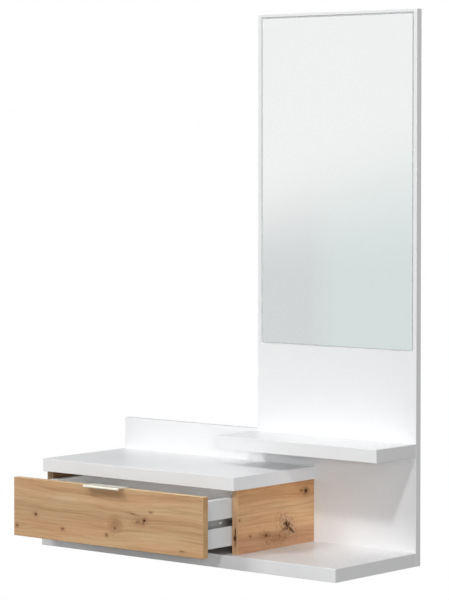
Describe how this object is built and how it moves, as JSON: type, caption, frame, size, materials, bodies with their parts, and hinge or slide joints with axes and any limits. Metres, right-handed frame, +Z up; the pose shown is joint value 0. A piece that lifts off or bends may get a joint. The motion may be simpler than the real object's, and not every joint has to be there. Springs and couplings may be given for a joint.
{
  "type": "wall cabinet with mirror",
  "caption": "Wall-hung hallway console: white shelves and back panels, tall mirror panel, and an oak-fronted cabinet whose drawer runs on ball-bearing slides.",
  "frame": {"origin": "middle of the lower back panel's wall face", "axes": "+X to the right along the wall, +Y into the wall, +Z up"},
  "size_m": [0.814, 0.397, 1.16],
  "materials": {
    "white_board": "satin white melamine",
    "oak_board": "matt oak decor",
    "drawer_board": "pale grey foil",
    "hardboard": "pale grey lacquer",
    "beech": "raw",
    "mirror": "polished",
    "foam_tape": "matt",
    "zinc_steel": "zinc plated",
    "rail_steel": "zinc plated",
    "cage_steel": "plain",
    "ball_steel": "polished",
    "clear_bumper": "clear soft dots",
    "satin_aluminium": "satin anodised"
  },
  "bodies": {
    "carcass": {"lower_back_panel": "white_board", "mirror_panel": "white_board", "upper_shelf": "white_board", "bottom_shelf": "white_board", "cabinet_top": "white_board", "left_side_panel": "oak_board", "right_side_panel": "oak_board", "mirror_glass": "mirror", "mirror_tape_strips": "foam_tape", "joining_plates": "zinc_steel", "joining_plate_screws": "zinc_steel", "keyhole_plates": "zinc_steel", "keyhole_plate_screws": "zinc_steel", "back_panel_screws": "zinc_steel", "shelf_dowels": "beech", "panel_joint_dowels": "beech", "side_cam_bolts": "zinc_steel", "side_cam_locks": "zinc_steel", "left_cabinet_rail": "rail_steel", "right_cabinet_rail": "rail_steel", "cabinet_rail_screws": "zinc_steel"},
    "drawer": {"drawer_front": "oak_board", "front_bumpers": "clear_bumper", "drawer_left_side": "drawer_board", "drawer_right_side": "drawer_board", "drawer_back": "drawer_board", "drawer_bottom": "hardboard", "handle": "satin_aluminium", "handle_screws": "zinc_steel", "left_drawer_rail": "rail_steel", "right_drawer_rail": "rail_steel", "drawer_rail_screws": "zinc_steel", "drawer_cam_bolts": "zinc_steel", "drawer_cam_locks": "zinc_steel", "drawer_back_screws": "zinc_steel", "drawer_bottom_screws": "zinc_steel"},
    "left_cage": {"left_ball_cage": "cage_steel", "left_slide_balls": "ball_steel"},
    "right_cage": {"right_ball_cage": "cage_steel", "right_slide_balls": "ball_steel"}
  },
  "joints": [
    {"name": "drawer_slide", "type": "slide", "parent": "carcass", "child": "drawer", "axis": [0, -1, 0], "range_m": [-0.09, 0.095]},
    {"name": "left_cage_roll", "type": "slide", "parent": "carcass", "child": "left_cage", "axis": [0, -1, 0], "range_m": [-0.045, 0.0475]},
    {"name": "right_cage_roll", "type": "slide", "parent": "carcass", "child": "right_cage", "axis": [0, -1, 0], "range_m": [-0.045, 0.0475]}
  ],
  "couplings": [
    {"joint": "left_cage_roll", "follows": "drawer_slide", "ratio": 0.5},
    {"joint": "right_cage_roll", "follows": "drawer_slide", "ratio": 0.5}
  ]
}
